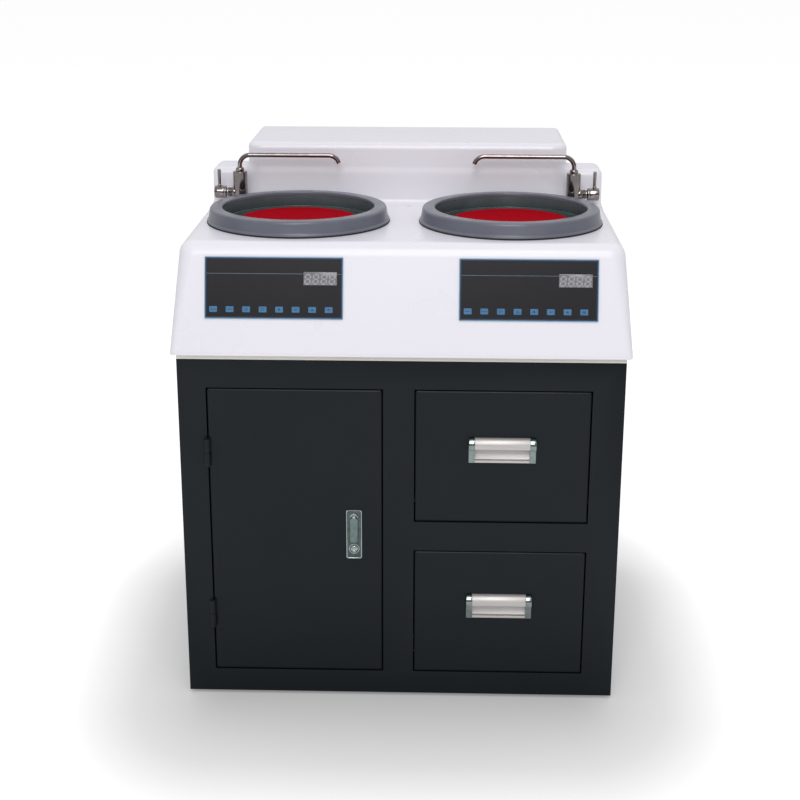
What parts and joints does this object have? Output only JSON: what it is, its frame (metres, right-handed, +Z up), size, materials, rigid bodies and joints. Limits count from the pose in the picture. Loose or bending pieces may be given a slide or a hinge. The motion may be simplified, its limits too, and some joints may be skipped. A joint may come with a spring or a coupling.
{
  "type": "double disc grinder polisher",
  "caption": "Floor-standing double-disc grinder polisher: moulded top with bowls, belt-driven discs, swivel taps and control panels, on a steel cabinet with a door and drawers.",
  "frame": {"origin": "middle of the overall bounding box, on the floor", "axes": "+Z up, front towards -Y, +X to the right as seen from the front"},
  "size_m": [0.73, 0.62, 0.88],
  "materials": {
    "cabinet_paint": "dark blue-grey stoved paint, semi-gloss",
    "black_rubber": "plain black rubber",
    "cream_plate": "cream paint",
    "white_shell": "white moulded shell, satin gloss",
    "dark_bowl": "dark grey moulded bowl, wet-look satin",
    "grey_ring": "mid grey moulded plastic, fine grain",
    "steel": "turned steel",
    "motor_paint": "dark grey enamel",
    "platen_aluminium": "fine turned",
    "red_cloth": "short-nap red polishing cloth",
    "chrome": "bright chrome plate",
    "panel_film": "black printed membrane with a thin blue border",
    "display_window": "grey smoked window over unlit digit segments",
    "zinc_sheet": "zinc-plated sheet",
    "pull_aluminium": "satin anodised, bright end caps",
    "drain_plastic": "grey pipe",
    "black_plastic": "black moulding"
  },
  "bodies": {
    "root": {"cabinet_carcass": "cabinet_paint", "cabinet_back_panel": "cabinet_paint", "face_frame": "cabinet_paint", "divider_wall": "cabinet_paint", "hinge_upper_frame_leaf": "cabinet_paint", "hinge_lower_frame_leaf": "cabinet_paint", "foot_front_left": "black_rubber", "foot_front_right": "black_rubber", "foot_rear_left": "black_rubber", "foot_rear_right": "black_rubber", "drive_belt_left": "black_rubber", "drive_belt_right": "black_rubber", "base_plate": "cream_plate", "top_housing": "white_shell", "bowl_left": "dark_bowl", "bowl_right": "dark_bowl", "splash_ring_left": "grey_ring", "splash_ring_right": "grey_ring", "bearing_housing_left": "steel", "bearing_housing_right": "steel", "motor_left": "motor_paint", "motor_right": "motor_paint", "tap_body_left": "chrome", "tap_body_right": "chrome", "control_panel_left": "panel_film", "control_panel_right": "panel_film", "speed_display_left": "display_window", "speed_display_right": "display_window", "drawer_upper_runner_left": "zinc_sheet", "drawer_upper_runner_right": "zinc_sheet", "drawer_lower_runner_left": "zinc_sheet", "drawer_lower_runner_right": "zinc_sheet", "drive_electronics_box": "zinc_sheet", "drain_pipe": "drain_plastic", "power_inlet": "black_plastic"},
    "door": {"door_panel": "cabinet_paint", "latch_body": "chrome", "hinge_upper_door_leaf": "cabinet_paint", "hinge_lower_door_leaf": "cabinet_paint"},
    "latch_spindle": {"latch_spindle": "steel"},
    "latch_lever": {"latch_lever": "chrome"},
    "latch_button": {"latch_button": "chrome"},
    "drawer_upper": {"drawer_upper_box": "zinc_sheet", "drawer_upper_front": "cabinet_paint", "drawer_upper_pull": "pull_aluminium"},
    "drawer_lower": {"drawer_lower_box": "zinc_sheet", "drawer_lower_front": "cabinet_paint", "drawer_lower_pull": "pull_aluminium"},
    "disc_left": {"spindle_left": "steel", "platen_left": "platen_aluminium", "polishing_cloth_left": "red_cloth"},
    "motor_rotor_left": {"motor_pulley_left": "steel"},
    "spout_left": {"spout_left": "chrome"},
    "tap_handle_left": {"tap_handle_left": "chrome"},
    "disc_right": {"spindle_right": "steel", "platen_right": "platen_aluminium", "polishing_cloth_right": "red_cloth"},
    "motor_rotor_right": {"motor_pulley_right": "steel"},
    "spout_right": {"spout_right": "chrome"},
    "tap_handle_right": {"tap_handle_right": "chrome"}
  },
  "joints": [
    {"name": "door_hinge", "type": "hinge", "parent": "root", "child": "door", "pos_m": [-0.312, -0.3013, 0.2935], "axis": [0, 0, -1], "range_deg": [0, 110]},
    {"name": "latch_turn", "type": "hinge", "parent": "door", "child": "latch_spindle", "pos_m": [-0.0755, -0.3044, 0.327], "axis": [0, -1, 0], "range_deg": [0, 90]},
    {"name": "lever_lift", "type": "hinge", "parent": "latch_spindle", "child": "latch_lever", "pos_m": [-0.0755, -0.3044, 0.327], "axis": [-1, 0, 0], "range_deg": [0, 30]},
    {"name": "latch_button_press", "type": "slide", "parent": "door", "child": "latch_button", "axis": [0, 1, 0], "range_m": [0, 0.0025], "stiffness_N_per_m": 400},
    {"name": "drawer_upper_slide", "type": "slide", "parent": "root", "child": "drawer_upper", "axis": [0, -1, 0], "range_m": [0, 0.33]},
    {"name": "drawer_lower_slide", "type": "slide", "parent": "root", "child": "drawer_lower", "axis": [0, -1, 0], "range_m": [0, 0.33]},
    {"name": "disc_spin_left", "type": "hinge", "parent": "root", "child": "disc_left", "pos_m": [-0.178, -0.079, 0.7642], "axis": [0, 0, 1], "continuous": true},
    {"name": "motor_spin_left", "type": "hinge", "parent": "root", "child": "motor_rotor_left", "pos_m": [-0.178, 0.165, 0.5863], "axis": [0, 0, 1], "continuous": true},
    {"name": "spout_swivel_left", "type": "hinge", "parent": "root", "child": "spout_left", "pos_m": [-0.293, 0.059, 0.834], "axis": [0, 0, -1], "range_deg": [-5, 120]},
    {"name": "tap_handle_turn_left", "type": "hinge", "parent": "root", "child": "tap_handle_left", "pos_m": [-0.3173, 0.059, 0.797], "axis": [1, 0, 0], "range_deg": [0, 90]},
    {"name": "disc_spin_right", "type": "hinge", "parent": "root", "child": "disc_right", "pos_m": [0.178, -0.079, 0.7642], "axis": [0, 0, 1], "continuous": true},
    {"name": "motor_spin_right", "type": "hinge", "parent": "root", "child": "motor_rotor_right", "pos_m": [0.178, 0.165, 0.5863], "axis": [0, 0, 1], "continuous": true},
    {"name": "spout_swivel_right", "type": "hinge", "parent": "root", "child": "spout_right", "pos_m": [0.293, 0.059, 0.834], "axis": [0, 0, 1], "range_deg": [-5, 120]},
    {"name": "tap_handle_turn_right", "type": "hinge", "parent": "root", "child": "tap_handle_right", "pos_m": [0.3173, 0.059, 0.797], "axis": [1, 0, 0], "range_deg": [0, 90]}
  ],
  "couplings": [
    {"joint": "motor_spin_left", "follows": "disc_spin_left", "ratio": 1.6667},
    {"joint": "motor_spin_right", "follows": "disc_spin_right", "ratio": 1.6667}
  ]
}
